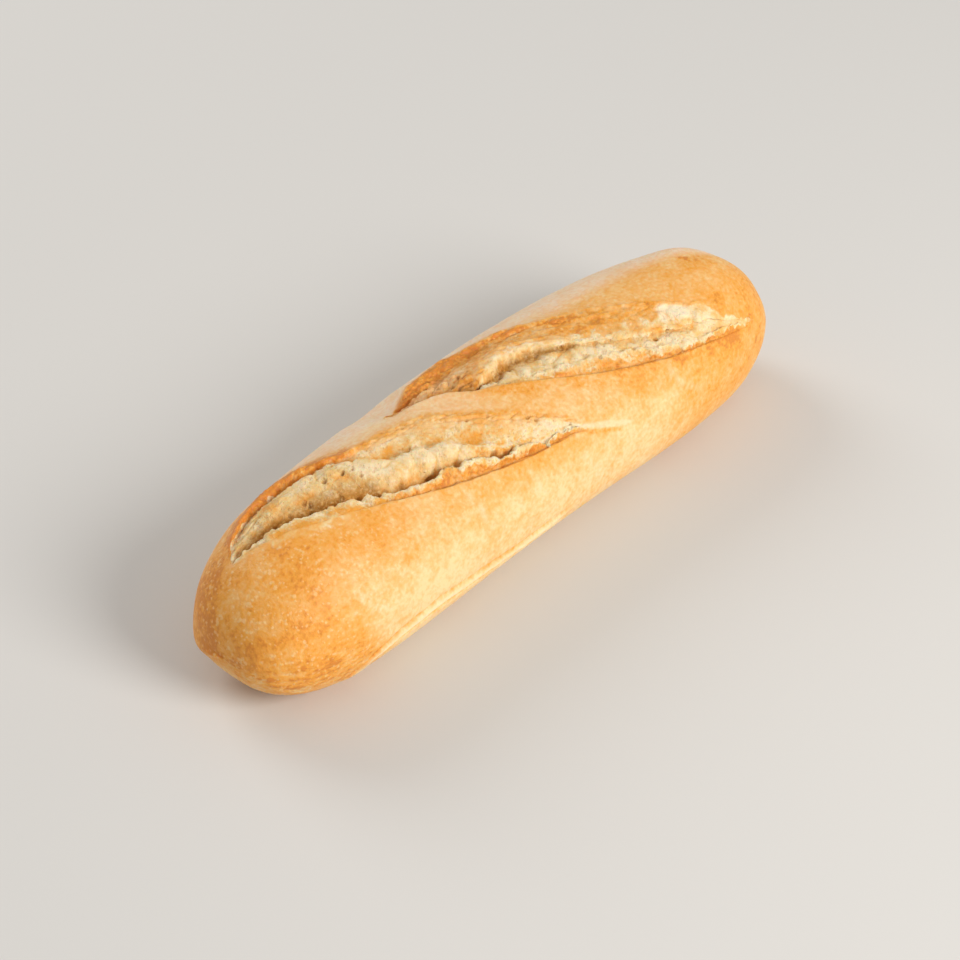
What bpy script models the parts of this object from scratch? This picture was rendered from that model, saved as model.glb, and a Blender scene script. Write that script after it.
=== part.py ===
"""Half-length baguette, baked as one piece, with two long diagonal scores that opened in the oven.

Run it with: blender --background --python part.py
The frame: +X runs along the loaf, +Z is up, and the origin is on the surface that the loaf
rests on, under the middle of its bounding box. Lengths are in metres.
"""

from math import cos, log, pi, radians, sin

import bmesh
import bpy
from mathutils import Vector

# Driving dimensions
LENGTH = 0.255
WIDTH = 0.0715
HEIGHT = 0.052

# Form of the loaf, as shares of the driving dimensions where they have no unit
EQUATOR = 0.42  # height of the widest line, as a share of HEIGHT
SAG = 0.10  # how far the rounded underside would reach below the oven floor, as a share of EQUATOR
TIP_HEIGHT = 0.40  # height that both tips close on, as a share of HEIGHT
UPPER_SQUARENESS = 2.1  # superellipse power of the section above its widest line
LOWER_SQUARENESS = 2.6
FLARE = 0.05  # the far half is this much fuller than the middle, and the near half as much slimmer
BEND = 0.0092  # how far both ends bend towards -Y
SWAY = 0.0024  # how much further the far end goes

# Each end closes over its own reach: (reach in plan, power in plan, reach in height)
NEAR_END = (0.094, 3.0, 0.042)
FAR_END = (0.088, 2.15, 0.035)
HEIGHT_POWER = 2.2

RINGS = 38
RING_POINTS = 40
LEAST_RING = 0.03  # the first ring is this share of the full section, and a tip closes it

# The two cuts, in plan. A cut runs from tip to tip with a slight bow, and opened into a lens that
# is "opening" wide at its fullest place.
SCORES = (
    {
        "name": "near_score",
        "start": (-0.113, 0.0050),
        "end": (0.040, -0.0335),
        "bow": 0.0055,
        "opening": 0.026,
    },
    {
        "name": "far_score",
        "start": (-0.033, 0.0145),
        "end": (0.112, -0.0285),
        "bow": 0.0020,
        "opening": 0.029,
    },
)
FULLEST_AT = 0.32  # where a cut is widest, as a share of its length
LIP_DEPTH = 0.0014  # how far the torn crumb lies under both lips
CREASE_DEPTH = 0.0050  # and at the crease, which runs by the lower lip
CREASE_AT = 0.70  # where the crease runs, from the upper lip at 0 to the lower lip at 1
SLOPE_AT = 0.35  # a point of the crumb's slope between the upper lip and the crease
SLOPE_SHARE = 0.45  # and how much of the way down it is
SCORE_RINGS = 20
LEAST_SCORE = 0.02  # the cutter's first ring is this share of the way from its tip
LEAST_DEPTH = 0.12  # the cut is never shallower than this share of its full depth
LEAST_HALF_GAP = 0.0005
STAND_OFF = 0.004  # how far a cutter stands out of the crust
ROUND_OFF = 1.5  # its back stands out this much further in the middle

SHARP_ANGLE = radians(40)  # edges folded further than this stay sharp
EDGE_SHARE = 0.999  # the crust's slope is read no nearer to its widest line than this share
SAME_POINT = 1e-6

CRUST_COLOUR = (0.70, 0.36, 0.11, 1.0)
CRUST_ROUGHNESS = 0.5


def clear_scene():
    for thing in list(bpy.data.objects):
        bpy.data.objects.remove(thing, do_unlink=True)


def signed_power(value, power):
    return (abs(value) ** power) * (1 if value >= 0 else -1)


def closing(distance, reach, power):
    """1 along the body, falling to 0 at a tip along a superellipse of the given reach."""
    share = min(max(distance / reach, 0.0), 1.0)
    return (1.0 - (1.0 - share) ** power) ** (1.0 / power)


def fullness(x):
    """(share of the full width, share of the full height) at station x."""
    near, far = x + LENGTH / 2, LENGTH / 2 - x
    in_plan = closing(near, *NEAR_END[:2]) * closing(far, *FAR_END[:2])
    in_height = closing(near, NEAR_END[2], HEIGHT_POWER) * closing(far, FAR_END[2], HEIGHT_POWER)
    return in_plan, in_height


def half_width(x):
    return WIDTH / 2 * fullness(x)[0] * (1 + FLARE * 2 * x / LENGTH)


def bowed(x):
    """How far the middle of the loaf is bent sideways at station x."""
    share = 2 * x / LENGTH
    return -BEND * share**2 - SWAY * share**3


def stations():
    """Stations from tip to tip, closer together where the ends round off."""
    for i in range(RINGS):
        share = LEAST_RING + (1 - 2 * LEAST_RING) * i / (RINGS - 1)
        yield -LENGTH / 2 * cos(pi * share)


def box_middle():
    """Middle of the bent loaf's bounding box in Y."""
    high = max(bowed(x) + half_width(x) for x in stations())
    low = min(bowed(x) - half_width(x) for x in stations())
    return (high + low) / 2


BOX_MIDDLE = box_middle()


def spine(x):
    """Where the middle of the loaf is in Y at station x, with its bounding box centred."""
    return bowed(x) - BOX_MIDDLE


def section_point(x, turn):
    """The point of the section at station x, a turn of 0 being its +Y side and 90 degrees its crown."""
    across, up = cos(turn), sin(turn)
    upper = up >= 0
    power = 2 / (UPPER_SQUARENESS if upper else LOWER_SQUARENESS)
    reach = 1 - EQUATOR if upper else EQUATOR * (1 + SAG)
    level = EQUATOR + reach * signed_power(up, power)
    return Vector((
        x,
        spine(x) + half_width(x) * signed_power(across, power),
        HEIGHT * (TIP_HEIGHT + (level - TIP_HEIGHT) * fullness(x)[1]),
    ))


def crust_point(x, y):
    """The point of the upper crust over a point in plan."""
    share = min(abs(y - spine(x)) / half_width(x), EDGE_SHARE)
    level = EQUATOR + (1 - EQUATOR) * (1 - share**UPPER_SQUARENESS) ** (1 / UPPER_SQUARENESS)
    return Vector((x, y, HEIGHT * (TIP_HEIGHT + (level - TIP_HEIGHT) * fullness(x)[1])))


def crust_normal(x, y, step=0.0005):
    along = crust_point(x + step, y) - crust_point(x - step, y)
    across = crust_point(x, y + step) - crust_point(x, y - step)
    return along.cross(across).normalized()


def skin(mesh, rings, first_tip, last_tip):
    """Bridges closed rings of points in order, and closes both ends onto a tip."""
    loops = [[mesh.verts.new(point) for point in ring] for ring in rings]
    count = len(loops[0])
    for before, after in zip(loops, loops[1:]):
        for i in range(count):
            j = (i + 1) % count
            mesh.faces.new((before[i], before[j], after[j], after[i]))
    for loop, tip in ((loops[0], first_tip), (loops[-1], last_tip)):
        end = mesh.verts.new(tip)
        for i in range(count):
            mesh.faces.new((loop[i], loop[(i + 1) % count], end))
    bmesh.ops.recalc_face_normals(mesh, faces=mesh.faces[:])


def to_object(mesh, name):
    data = bpy.data.meshes.new(name)
    mesh.to_mesh(data)
    mesh.free()
    made = bpy.data.objects.new(name, data)
    bpy.context.scene.collection.objects.link(made)
    return made


def crust_material():
    material = bpy.data.materials.new("golden_crust")
    material.use_nodes = True
    shader = material.node_tree.nodes["Principled BSDF"]
    shader.inputs["Base Color"].default_value = CRUST_COLOUR
    shader.inputs["Roughness"].default_value = CRUST_ROUGHNESS
    shader.inputs["Metallic"].default_value = 0.0
    return material


def make_loaf():
    """The whole loaf, with the flat sole that it was baked on."""
    mesh = bmesh.new()
    turns = [2 * pi * i / RING_POINTS for i in range(RING_POINTS)]
    rings = [[section_point(x, turn) for turn in turns] for x in stations()]
    tips = [Vector((x, spine(x), HEIGHT * TIP_HEIGHT)) for x in (-LENGTH / 2, LENGTH / 2)]
    skin(mesh, rings, *tips)
    cut = bmesh.ops.bisect_plane(
        mesh,
        geom=mesh.verts[:] + mesh.edges[:] + mesh.faces[:],
        plane_co=(0, 0, 0),
        plane_no=(0, 0, 1),
        clear_inner=True,
        dist=SAME_POINT,
    )
    sole_edge = [part for part in cut["geom_cut"] if isinstance(part, bmesh.types.BMEdge)]
    bmesh.ops.contextual_create(mesh, geom=sole_edge)
    bmesh.ops.recalc_face_normals(mesh, faces=mesh.faces[:])
    loaf = to_object(mesh, "loaf")
    loaf.data.materials.append(crust_material())
    loaf.data.shade_smooth()
    loaf.data.set_sharp_from_angle(angle=SHARP_ANGLE)
    return loaf


def score_ring(score, share):
    """One cross-section of a score's cutter, at a share of the way from its start to its end."""
    start, end = Vector(score["start"]), Vector(score["end"])
    across = Vector((start.y - end.y, end.x - start.x)).normalized()
    swell = sin(pi * share ** (log(0.5) / log(FULLEST_AT)))
    middle = start.lerp(end, share) + across * score["bow"] * swell
    half_gap = max(score["opening"] / 2 * swell, LEAST_HALF_GAP)
    depth_share = max(swell, LEAST_DEPTH)
    profile = (
        (0.0, -STAND_OFF),
        (0.0, LIP_DEPTH * depth_share),
        (SLOPE_AT, (LIP_DEPTH + SLOPE_SHARE * (CREASE_DEPTH - LIP_DEPTH)) * depth_share),
        (CREASE_AT, CREASE_DEPTH * depth_share),
        (1.0, LIP_DEPTH * depth_share),
        (1.0, -STAND_OFF),
        (0.5, -ROUND_OFF * STAND_OFF),
    )
    ring = []
    for from_upper_lip, depth in profile:
        plan = middle + across * half_gap * (1 - 2 * from_upper_lip)
        ring.append(crust_point(*plan) - crust_normal(*plan) * depth)
    return ring


def cut_score(loaf, score):
    """Cuts one score into the loaf, with the blade's lens-shaped opening and its crease."""
    mesh = bmesh.new()
    step = (1 - 2 * LEAST_SCORE) / (SCORE_RINGS - 1)
    shares = [LEAST_SCORE + step * i for i in range(SCORE_RINGS)]
    rings = [score_ring(score, share) for share in shares]
    tips = [sum(score_ring(score, share), Vector((0, 0, 0))) / len(rings[0]) for share in (0, 1)]
    skin(mesh, rings, *tips)
    cutter = to_object(mesh, score["name"])
    cutter.hide_render = True
    cutter.display_type = "WIRE"
    cut = loaf.modifiers.new(score["name"], "BOOLEAN")
    cut.operation = "DIFFERENCE"
    cut.object = cutter


def main():
    clear_scene()
    loaf = make_loaf()
    for score in SCORES:
        cut_score(loaf, score)


main()
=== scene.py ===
"""Half-length baguette: golden blistered crust, and two long scores torn open over pale crumb.

The loaf starts as a round primitive, is subdivided where the scores are, and is then shaped the
way a baker's loaf is: the body first, then the torn openings, then the crumb, then the crust's
wrinkles. Places along the loaf are in millimetres from its middle, and places round it are in
degrees from its crown, positive towards +Y.
"""

from math import cos, pi, radians, sin

import bpy
import numpy as np
from bpy.props import FloatProperty, FloatVectorProperty, IntProperty, PointerProperty
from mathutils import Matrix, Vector, noise


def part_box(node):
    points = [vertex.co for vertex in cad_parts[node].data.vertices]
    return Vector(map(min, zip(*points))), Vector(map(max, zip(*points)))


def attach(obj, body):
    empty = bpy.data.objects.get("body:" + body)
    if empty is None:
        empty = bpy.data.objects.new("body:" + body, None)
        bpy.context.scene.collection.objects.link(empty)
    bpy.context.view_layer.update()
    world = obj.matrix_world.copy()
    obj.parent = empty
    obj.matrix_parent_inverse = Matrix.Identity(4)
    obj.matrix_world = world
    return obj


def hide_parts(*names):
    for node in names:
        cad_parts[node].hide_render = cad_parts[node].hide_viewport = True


bl_info = {
    "name": "Torn-crust baguette",
    "version": (1, 0, 0),
    "blender": (4, 5, 0),
    "location": "3D View > Sidebar > Baguette",
    "description": "Makes a scored half-length baguette around its frame",
    "category": "Add Mesh",
}

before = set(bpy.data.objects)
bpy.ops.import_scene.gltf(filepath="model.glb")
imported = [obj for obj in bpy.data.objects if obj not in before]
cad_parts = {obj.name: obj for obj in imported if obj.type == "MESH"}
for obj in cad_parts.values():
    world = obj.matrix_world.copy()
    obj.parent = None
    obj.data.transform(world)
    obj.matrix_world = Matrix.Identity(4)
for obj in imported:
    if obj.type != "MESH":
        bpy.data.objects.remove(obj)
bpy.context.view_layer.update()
LOW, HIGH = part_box("loaf")
MM = 0.001
# The loaf's own width as a share of the frame's, which takes in its bend too.
WIDTH_SHARE = 0.966


class LoafSettings(bpy.types.PropertyGroup):
    """Sizes of the loaf"""

    length: FloatProperty(
        name="Length",
        description="Tip to tip",
        default=HIGH[0] - LOW[0],
        unit="LENGTH",
    )
    width: FloatProperty(
        name="Width",
        description="Across the middle of the loaf",
        default=(HIGH[1] - LOW[1]) * WIDTH_SHARE,
        unit="LENGTH",
    )
    height: FloatProperty(
        name="Height",
        description="From the sole to the crown",
        default=HIGH[2],
        unit="LENGTH",
    )
    bend: FloatProperty(
        name="Bend",
        description="How far both ends bend towards -Y",
        default=9.2 * MM,
        unit="LENGTH",
    )
    sway: FloatProperty(
        name="Sway",
        description="How much further the far end bends",
        default=2.4 * MM,
        unit="LENGTH",
    )
    segments: IntProperty(
        name="Segments",
        description="Faces round the loaf before the scores are refined",
        default=144,
    )
    rings: IntProperty(
        name="Rings",
        description="Faces along the loaf before the scores are refined",
        default=196,
    )
    raggedness: FloatProperty(
        name="Raggedness",
        description="How torn the crumb is, 1 being this loaf",
        default=1.0,
        min=0.0,
    )


class CrustSettings(bpy.types.PropertyGroup):
    """Colours and finish of crust and crumb"""

    straw: FloatVectorProperty(
        name="Straw",
        description="Colour of the least baked crust, low on the flanks",
        subtype="COLOR",
        size=3,
        default=(0.93, 0.67, 0.345),
        min=0.0,
        max=1.0,
    )
    golden: FloatVectorProperty(
        name="Golden",
        description="Colour of most of the crust",
        subtype="COLOR",
        size=3,
        default=(0.89, 0.465, 0.132),
        min=0.0,
        max=1.0,
    )
    amber: FloatVectorProperty(
        name="Amber",
        description="Colour of the well baked crust round the near end",
        subtype="COLOR",
        size=3,
        default=(0.87, 0.37, 0.050),
        min=0.0,
        max=1.0,
    )
    toasted: FloatVectorProperty(
        name="Toasted",
        description="Colour of torn edges, the most baked crust",
        subtype="COLOR",
        size=3,
        default=(0.72, 0.26, 0.036),
        min=0.0,
        max=1.0,
    )
    # The far side of the crown: a paler crust with a painted sheen over it.
    dusky: FloatVectorProperty(
        name="Dusky",
        description="Colour of the drier crust on the far side of the crown",
        subtype="COLOR",
        size=3,
        default=(0.95, 0.755, 0.57),
        min=0.0,
        max=1.0,
    )
    cream: FloatVectorProperty(
        name="Cream",
        description="Colour of the palest torn crumb",
        subtype="COLOR",
        size=3,
        default=(0.95, 0.755, 0.47),
        min=0.0,
        max=1.0,
    )
    butter: FloatVectorProperty(
        name="Butter",
        description="Colour of crumb that caught some heat",
        subtype="COLOR",
        size=3,
        default=(0.88, 0.61, 0.27),
        min=0.0,
        max=1.0,
    )
    # Painted shade: the warm brown laid deep in pores, cracks and valleys where shade falls.
    hollow: FloatVectorProperty(
        name="Hollow",
        description="Colour deep in pores and cracks",
        subtype="COLOR",
        size=3,
        default=(0.44, 0.185, 0.024),
        min=0.0,
        max=1.0,
    )
    freckle: FloatVectorProperty(
        name="Freckle",
        description="Colour of the small blisters on the crust",
        subtype="COLOR",
        size=3,
        default=(0.95, 0.68, 0.35),
        min=0.0,
        max=1.0,
    )
    pale: FloatVectorProperty(
        name="Pale",
        description="Colour of stretched crust and of the seam",
        subtype="COLOR",
        size=3,
        default=(0.97, 0.80, 0.54),
        min=0.0,
        max=1.0,
    )
    roughness: FloatProperty(
        name="Roughness",
        description="Roughness of the crust",
        default=0.48,
        min=0.0,
        max=1.0,
    )


class StageSettings(bpy.types.PropertyGroup):
    """The floor and the camera"""

    floor: FloatVectorProperty(
        name="Floor",
        description="Colour of the floor",
        subtype="COLOR",
        size=3,
        default=(0.72, 0.70, 0.67),
        min=0.0,
        max=1.0,
    )
    lens: FloatProperty(
        name="Lens",
        description="Focal length of the camera",
        default=100.0,
        unit="CAMERA",
    )
    azimuth: FloatProperty(
        name="Azimuth",
        description="Camera's turn about the loaf, 0 looking along +Y",
        default=radians(-48.05),
        unit="ROTATION",
    )
    elevation: FloatProperty(
        name="Elevation",
        description="Camera's height above the horizon",
        default=radians(40.0),
        unit="ROTATION",
    )
    distance: FloatProperty(
        name="Distance",
        description="From the camera to the point it looks at",
        default=0.8931,
        unit="LENGTH",
    )


# ---------------------------------------------------------------- the body

# Height of the widest place and of the tips, as shares of the loaf's height.
EQUATOR = 0.42
TIP_HEIGHT = 0.40
# How far the underside would bulge past the floor if it weren't flat, as a share of the equator.
SAG = 0.10
# Superellipse powers of the section above and below the equator.
UPPER_POWER = 2 / 2.1
LOWER_POWER = 2 / 2.6
# How much wider the loaf is at its far end than at its middle.
FLARE = 0.05
# Each end: its reach in plan (metres), its superellipse power in plan, its reach in height (metres).
NEAR_END = (0.094, 3.0, 0.042)
FAR_END = (0.088, 2.15, 0.035)
HEIGHT_POWER = 2.2
# How much closer together the faces lie at the crown than at the sole.
CROWDING = 0.20
# How far round the loaf a turn of one degree goes.
DEGREE = 0.57 * MM
OUTLINE_POINTS = 4001


def closing(distance, reach, power):
    """1 along the body, falling to 0 at a tip along a superellipse of the given reach."""
    share = np.clip(distance / reach, 0.0, 1.0)
    return (1.0 - (1.0 - share) ** power) ** (1.0 / power)


class Body:
    """The smooth loaf, before its scores opened."""

    def __init__(self, loaf):
        self.length, self.width, self.height = loaf.length, loaf.width, loaf.height
        self.bend, self.sway = loaf.bend, loaf.sway
        self.middle = 0.0
        x = self.length / 2 * np.sin(np.linspace(-pi / 2, pi / 2, OUTLINE_POINTS))
        half = self.half_width(x)
        high, low = (self.spine(x) + half).max(), (self.spine(x) - half).min()
        self.middle = (high + low) / 2
        crown = self.height * self.rise(x)
        run = np.hypot(np.hypot(np.diff(x), np.diff(half)), np.diff(crown))
        self.outline = np.concatenate([[0.0], np.cumsum(run)]) / run.sum()
        self.outline_x = x

    def half_width(self, x):
        """Half the width at stations in metres."""
        half = self.length / 2
        full = closing(x + half, *NEAR_END[:2]) * closing(half - x, *FAR_END[:2])
        return self.width / 2 * full * (1 + FLARE * x / half)

    def rise(self, x):
        """How much of its full height the section has, 0 at the tips and 1 along the body."""
        half = self.length / 2
        near = closing(x + half, NEAR_END[2], HEIGHT_POWER)
        return near * closing(half - x, FAR_END[2], HEIGHT_POWER)

    def spine(self, x):
        """Sideways place of the middle of the loaf."""
        share = 2 * x / self.length
        return -self.bend * share**2 - self.sway * share**3 - self.middle

    def station(self, share):
        """Station in metres at a share of the way along the outline."""
        return np.interp(share, self.outline, self.outline_x)

    def place(self, x, turn):
        """The points of the skin at stations x, a turn of so many degrees from the crown."""
        across, up = np.sin(np.radians(turn)), np.cos(np.radians(turn))
        power = np.where(up >= 0, UPPER_POWER, LOWER_POWER)
        reach = np.where(up >= 0, 1 - EQUATOR, EQUATOR * (1 + SAG))
        level = EQUATOR + reach * np.sign(up) * np.abs(up) ** power
        y = self.spine(x) + self.half_width(x) * np.sign(across) * np.abs(across) ** power
        z = self.height * (TIP_HEIGHT + (level - TIP_HEIGHT) * self.rise(x))
        return np.stack([x, y, np.maximum(z, 0.0)], 1)


# ---------------------------------------------------------------- the scores

# Each line runs along a score: (station, turn, height above the smooth crust in mm).
# They are listed from the +Y side of the score to its -Y side.
NEAR_SCORE = {
    "lip": (
        (-113, 20, 0.0), (-107, 32, 0.4), (-100, 36, 1.0), (-90, 38, 1.5), (-80, 37, 1.7),
        (-72, 32.5, 1.6), (-65, 26, 1.3), (-59, 19, 0.8), (-50, 13, 0.4), (-42, 11, 0.4),
        (-34, 7, 0.3), (-25, 2, 0.3), (-16, -10, 0.2), (-3, -26, 0.0), (8, -40, 0.0),
        (16, -51, 0.0), (26, -61, 0.0), (40, -72, 0.0),
    ),
    "foot": (
        (-113, 19.5, 0.0), (-107, 29, -0.8), (-101, 33, -1.6), (-93, 34, -2.0), (-86, 32, -2.0),
        (-79, 28.5, -2.0), (-73, 25, -2.0), (-68, 22, -1.8), (-63, 18, -1.5), (-58, 14, -1.2),
        (-50, 8, -0.7), (-42, 4, -0.6), (-34, 0, -0.5), (-25, -7, -0.5), (-16, -18, -0.4),
        (-3, -32, -0.3), (8, -44, -0.2), (16, -52.5, 0.0), (26, -61.5, 0.0), (40, -72, 0.0),
    ),
    "shelf": (
        (-113, 19.2, 0.0), (-107, 28.5, -0.8), (-101, 32.3, -1.5), (-93, 33.2, -1.9),
        (-79, 27.8, -1.8), (-68, 21, -1.6), (-63, 16.5, -1.6), (-58, 11, -1.8), (-50, 0, -2.0),
        (-42, -6, -2.0), (-34, -12, -2.0), (-25, -21, -1.9), (-16, -31, -1.6), (-3, -38, -1.2),
        (8, -46, -0.8), (16, -53.5, -0.3), (26, -62, -0.1), (40, -72, 0.0),
    ),
    "roll": (
        (-113, 19, 0.0), (-107, 28, -0.8), (-101, 31, -1.2), (-93, 31.5, -0.9), (-86, 29, -0.5),
        (-79, 25, -0.2), (-73, 21.5, 0.2), (-68, 18.0, 0.6), (-63, 12, 0.9), (-59, 5, 1.1),
        (-55, -3, 1.1), (-48, -9, 1.0), (-40, -14, 1.0), (-31, -21, 0.9), (-23, -29, 0.5),
        (-18, -35, -0.6), (-14, -39, -1.5), (-3, -43, -1.4), (8, -48, -0.8), (16, -54, -0.3),
        (26, -62.5, -0.1), (40, -72, 0.0),
    ),
    "valley": (
        (-113, 18.8, 0.0), (-110, 18, -1.2), (-107, 16, -2.2), (-103, 16, -3.2), (-95, 12, -4.4),
        (-90, 6, -4.6), (-81, 2, -4.6), (-77, -2, -4.8), (-69, -10, -4.2), (-65, -14, -3.8),
        (-60, -17, -3.6), (-53, -21, -3.8), (-47, -26.5, -4.6), (-42, -27.5, -4.4),
        (-35, -28.5, -3.8), (-31, -33, -3.8), (-26, -38, -4.0), (-19, -41, -4.6), (-12, -43, -3.4),
        (-6, -46, -2.2), (4, -49, -1.2), (16, -54.6, -0.5), (26, -63, -0.1), (40, -72, 0.0),
    ),
    "flap": (
        (-113, 18.4, 0.0), (-109, 14, 0.1), (-105, 9.5, 0.2), (-101, 6, -0.1), (-95, 2, -0.5),
        (-88, -2, -0.9), (-78, -9, -1.0), (-68, -15.5, -0.9), (-59, -24, -0.6), (-52, -28, -0.2),
        (-47, -29.5, 0.3), (-42, -29, 0.8), (-38, -29, 1.1), (-33, -34, 1.1), (-26, -39, 1.0),
        (-17, -44, 0.9), (-9, -47, 0.6), (2, -50.5, 0.4), (11, -53, 0.1), (26, -63.5, 0.0),
        (40, -72, 0.0),
    ),
    "crack": (
        (-113, 18, 0.0), (-109, 13, 0.0), (-105, 8, 0.0), (-101, 3, 0.0), (-95, -1, -0.1),
        (-91, -5, -0.1), (-86, -9, -0.1), (-78, -13.5, -0.2), (-74, -17, -0.3), (-67, -21, -0.6),
        (-60, -26, -1.0), (-49, -33, -1.1), (-37, -40, -1.2), (-25, -45, -1.3), (-12, -50, -1.3),
        (-1, -53, -1.2), (9, -55, -0.9), (18, -57, -0.4), (28, -64.5, -0.1), (40, -72, 0.0),
    ),
    "edge": (
        (-113, 17, 0.0), (-109, 11, 0.0), (-105, 6, 0.1), (-101, 0, 0.1), (-95, -4, 0.1),
        (-91, -8, 0.1), (-86, -12, 0.1), (-78, -16.5, 0.1), (-67, -24, 0.3), (-60, -28.5, 0.4),
        (-49, -35.5, 0.5), (-37, -42.5, 0.6), (-25, -47.5, 0.6), (-12, -52.5, 0.6), (-1, -55.5, 0.5),
        (9, -57.5, 0.4), (18, -60, 0.2), (28, -67, 0.1), (40, -73, 0.0),
    ),
}
FAR_SCORE = {
    "lip": (
        (-34, 22, 0.0), (-30, 28, 0.3), (-20, 37, 0.5), (-11, 38, 0.6), (-3, 41, 0.8),
        (4, 40, 0.9), (10, 34, 0.9), (16, 33, 0.9), (22, 30, 0.8), (31, 24, 0.6), (37, 15, 0.5),
        (46, 8, 0.4), (56, 0, 0.3), (69, -8, 0.2), (75, -17, 0.2), (85, -28, 0.2), (93, -40, 0.1),
        (103, -53, 0.0), (112, -65, 0.0),
    ),
    "dip": (
        (-34, 21.8, 0.0), (-30, 25, -0.9), (-20, 28, -1.8), (-11, 27, -2.2), (-3, 28, -2.2),
        (5, 27, -1.9), (13, 27, -1.6), (20, 25, -1.3), (28, 18, -1.0), (36, 8, -0.6),
        (46, 0, -0.4), (56, -8, -0.3), (66, -13, -0.3), (75, -22, -0.4), (85, -32, -0.3),
        (95, -45, -0.2), (105, -57, -0.1), (112, -65.3, 0.0),
    ),
    "ridge": (
        (-34, 21.6, 0.0), (-26, 21, -2.2), (-18, 19, -3.2), (-10, 13, -3.4), (-4, 8, -2.2),
        (0, 7, -0.6), (5, 10, 0.5), (13, 14, 0.8), (20, 13.5, 0.8), (26, 8, 0.5), (31, 2, 0.2),
        (36, -2, 0.0), (44, -9, -0.3), (54, -19, -0.3), (64, -24, -0.3), (74, -29, -0.4),
        (85, -38, -0.5), (95, -49, -0.3), (105, -60, -0.1), (112, -65.6, 0.0),
    ),
    "pocket": (
        (-34, 21.4, 0.0), (-26, 19, -3.2), (-20, 16, -4.2), (-13, 11, -4.4), (-8, 5, -4.2),
        (-1, 2, -4.0), (5, 3.5, -3.8), (11, 4, -3.6), (16, 3.5, -3.3), (23, 1, -2.9),
        (28, -3, -2.2), (33, -7, -1.7), (40, -14, -1.3), (50, -22, -1.4), (60, -30, -1.8),
        (72, -36, -1.7), (85, -43, -1.1), (95, -53, -0.6), (105, -62, -0.2), (112, -66, 0.0),
    ),
    "swell": (
        (-34, 21.2, 0.0), (-26, 18.6, -3.0), (-13, 10.6, -4.4), (-6, 2, -3.6), (0, -2.5, -2.4),
        (5, -4.5, -1.8), (11, -8, -1.3), (20, -13, -0.9), (30, -19, -0.9), (40, -23, -1.0),
        (50, -29, -1.0), (60, -37, -1.0), (72, -43, -0.9), (85, -50, -0.6), (96, -58, -0.3),
        (112, -67, 0.0),
    ),
    "flap": (
        (-34, 21, 0.0), (-26, 18.3, -2.6), (-13, 10.3, -3.6), (-6, 1.2, -2.8), (0, -3.5, -1.8),
        (6, -8, -1.2), (14, -15.5, -0.6), (24, -21, 0.0), (32, -24, 0.2), (41, -30, 0.5),
        (48, -33, 0.5), (56, -39.5, 0.5), (66, -46, 0.4), (79, -52.3, 0.2), (96, -61, 0.0),
        (112, -68, 0.0),
    ),
    "crack": (
        (-34, 20.8, 0.0), (-26, 18, -2.4), (-20, 15.2, -3.0), (-13, 10, -3.2), (-7, 1, -2.4),
        (-1, -4, -1.6), (5, -9, -1.2), (11, -14, -1.0), (17, -19.5, -1.0), (24, -25.5, -1.1),
        (34, -33, -1.2), (48, -41, -1.3), (56, -45, -1.3), (64, -49, -1.1), (80, -54.5, -0.7),
        (96, -62, -0.3), (112, -69, 0.0),
    ),
    "edge": (
        (-34, 20.3, 0.0), (-26, 15, 0.3), (-20, 11.7, 0.5), (-13, 6.5, 0.6), (-7, -2.5, 0.6),
        (-1, -7, 0.6), (5, -12, 0.5), (11, -17, 0.5), (17, -22.5, 0.5), (24, -28.5, 0.5),
        (34, -36, 0.5), (48, -44, 0.6), (56, -48, 0.6), (64, -52, 0.6), (80, -57.5, 0.4),
        (96, -65, 0.1), (112, -71, 0.0),
    ),
}

# The lines are read every so many mm, with their corners rounded over a few mm.
LINE_STEP = 0.25
LINE_SOFTENING = 2.0
# The least turn between neighbouring lines, in degrees.
LEAST_GAP = 0.3
# A score narrower than this (degrees) is shallower too, and a lip leans out fully only over a
# hollow of this depth (mm).
WIDE_OPEN = 18.0
DEEP_ENOUGH = 1.2
# How far from a score's start and end its lines are as ragged as anywhere, in mm.
START_FADE = 8
END_FADE = 12
# The crust starts to rise this many degrees outside the outer lines, and more where it is open.
SHOULDER = 3
UPPER_SHOULDER = 6
LOWER_SHOULDER = 5
# Waves of a ragged line, as (share, mm): sideways, and up and down by LIFT mm a degree.
RAGS = ((1.4, 7.0), (0.9, 2.9), (0.7, 1.3), (0.5, 0.7))
LIFTS = ((1.0, 3.0), (0.6, 1.4))
LIFT = 0.18
# Random seeds of the waves: how far apart neighbouring lines' seeds are, and where LIFTS starts.
RAG_SEEDS = 3.1
LIFT_SEEDS = 5.7
FIRST_LIFT_SEED = 40

# How far each line wanders (degrees) and how far the surface on it leans sideways (degrees, so
# that a lip hangs over the hollow beside it).
WANDER = {
    "lip": 0.5, "foot": 0.9, "shelf": 0.9, "roll": 1.7, "valley": 1.2, "flap": 2.6, "crack": 0.4,
    "edge": 0.3, "dip": 0.8, "ridge": 1.5, "pocket": 1.3, "swell": 1.7,
}
# How long the surface keeps a line's height before it makes for the next line's, 1 being evenly.
HOLD = {"roll": 1.95, "ridge": 1.9}
# How much of its lean a lip has at each station.
LIP_STATIONS = (-60, -50, -36, -30, 60, 75)
LIP_LEANS = (1.0, 0.15, 0.15, 1.0, 1.0, 0.0)
LEAN = {"lip": -2.4, "foot": 1.0, "roll": 0.8, "ridge": -3.0, "flap": 1.8, "edge": 1.4}


def smooth_step(share):
    """0 to 1 with a soft start and end, for shares of 0 to 1 and past them."""
    share = np.clip(share, 0.0, 1.0)
    return share * share * (3 - 2 * share)


def window(x, start, end, fade):
    """1 between start and end, fading to 0 over a stretch outside each."""
    return smooth_step((x - start) / fade + 1) * smooth_step((end - x) / fade + 1)


def band(v, centre, reach):
    """1 on a line, fading to 0 at its reach on both sides."""
    return smooth_step(1 - np.abs(v - centre) / reach)


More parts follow.
